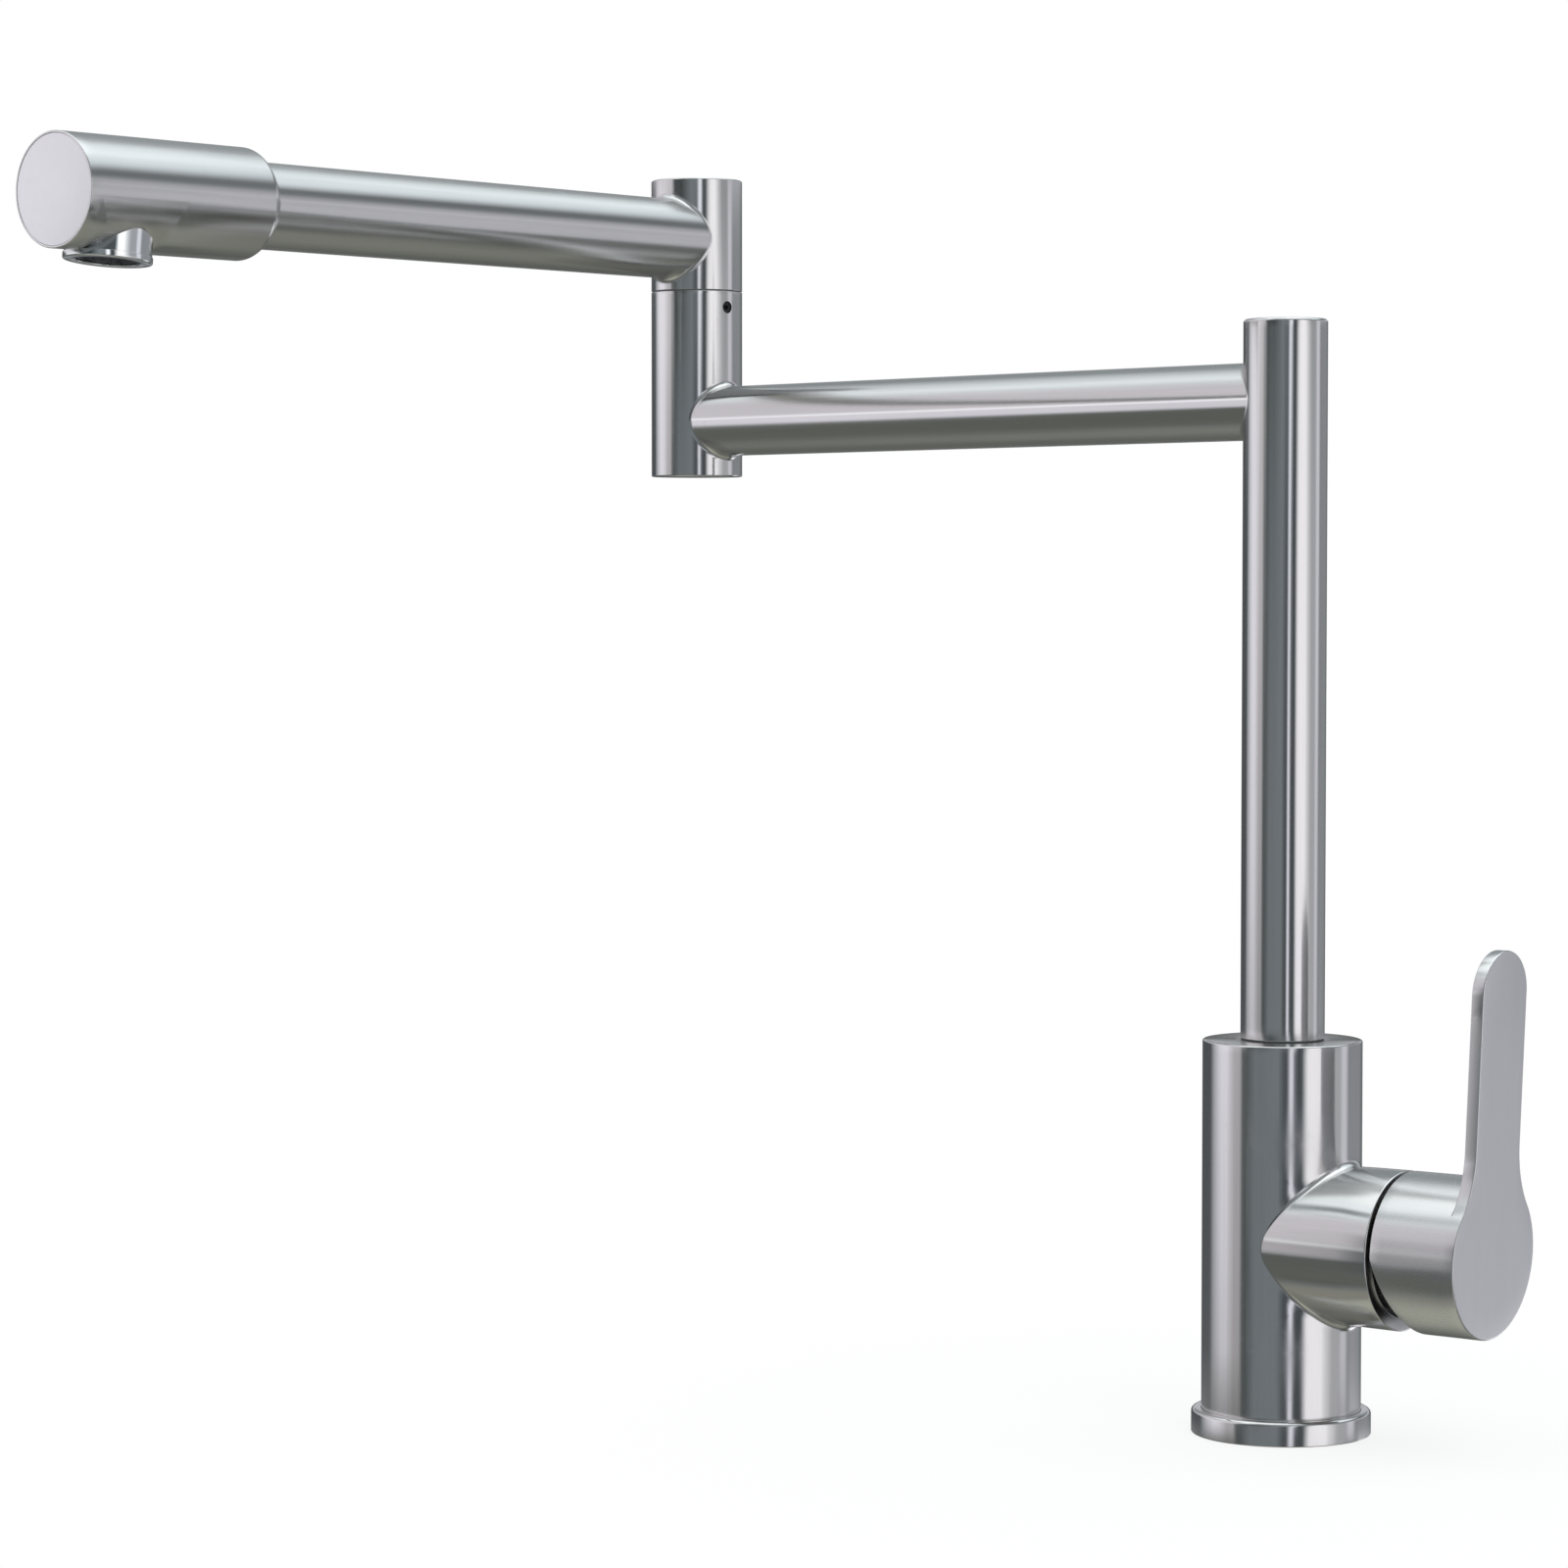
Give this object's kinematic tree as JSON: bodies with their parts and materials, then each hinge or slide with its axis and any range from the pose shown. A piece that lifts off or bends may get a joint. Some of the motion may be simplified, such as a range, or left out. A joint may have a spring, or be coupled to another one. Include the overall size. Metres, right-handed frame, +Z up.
{
  "type": "kitchen mixer tap",
  "caption": "Folding kitchen mixer tap in brushed steel: upright body with a side lever, slim riser, swivelling lower arm, upright elbow joint, upper arm and thicker spout head with aerator.",
  "frame": {"origin": "centre of the base ring on the worktop", "axes": "+Z up along the riser, +X along the handle's branch, -Y towards the sink and the user"},
  "size_m": [0.3672, 0.2957, 0.3884],
  "materials": {
    "stainless": "brushed",
    "chrome": "polished",
    "brass": "machined",
    "screw_steel": "plain",
    "rubber": "matte",
    "ceramic": "ceramic",
    "cartridge_plastic": "moulded",
    "bearing_plastic": "moulded",
    "insert_plastic": "moulded"
  },
  "bodies": {
    "base": {"base_ring": "stainless", "base_gasket": "rubber", "valve_body": "stainless", "inlet_block": "brass", "seat_seals": "rubber", "cartridge_base": "cartridge_plastic", "disc_gasket": "rubber", "fixed_ceramic_disc": "ceramic", "cartridge_casing": "cartridge_plastic", "cartridge_nut": "screw_steel", "bonnet_cap": "stainless", "swivel_bush": "stainless", "riser_grub_screw": "screw_steel"},
    "riser": {"riser_tube": "stainless", "riser_cap": "stainless", "riser_spigot": "brass", "riser_seals": "rubber", "riser_slip_ring": "bearing_plastic", "lower_arm_tube": "stainless", "elbow_lower_tube": "stainless", "elbow_bottom_cap": "stainless", "elbow_socket": "brass", "elbow_grub_screw": "screw_steel"},
    "spout": {"elbow_upper_tube": "stainless", "elbow_top_cap": "stainless", "elbow_spigot": "brass", "elbow_seals": "rubber", "elbow_slip_ring": "bearing_plastic", "upper_arm_tube": "stainless", "spout_head": "stainless", "spout_end_cap": "stainless", "aerator_socket": "brass", "aerator_washer": "rubber", "aerator_housing": "chrome", "aerator_insert": "insert_plastic"},
    "rotor": {"stem_rotor": "cartridge_plastic", "stem_pin": "screw_steel"},
    "lever": {"lever_handle": "stainless", "control_stem": "screw_steel", "handle_grub_screw": "screw_steel"},
    "disc": {"moving_ceramic_disc": "ceramic", "disc_carrier": "cartridge_plastic"}
  },
  "joints": [
    {"name": "riser_swivel", "type": "hinge", "parent": "base", "child": "riser", "pos_m": [0, 0, 0.1177], "axis": [0, 0, 1], "continuous": true},
    {"name": "elbow_swivel", "type": "hinge", "parent": "riser", "child": "spout", "pos_m": [-0.25868, 0.04282, 0.3514], "axis": [0, 0, 1], "continuous": true},
    {"name": "lever_turn", "type": "hinge", "parent": "base", "child": "rotor", "pos_m": [0.0336, 0, 0.058], "axis": [1, 0, 0], "range_deg": [-45, 45]},
    {"name": "lever_lift", "type": "hinge", "parent": "rotor", "child": "lever", "pos_m": [0.0336, 0, 0.058], "axis": [0, 1, 0], "range_deg": [0, 18]},
    {"name": "disc_slide", "type": "slide", "parent": "rotor", "child": "disc", "axis": [0, 0, 1], "range_m": [0, 0.00261]}
  ],
  "couplings": [
    {"joint": "disc_slide", "follows": "lever_lift", "m_per_rad": 0.00815}
  ]
}
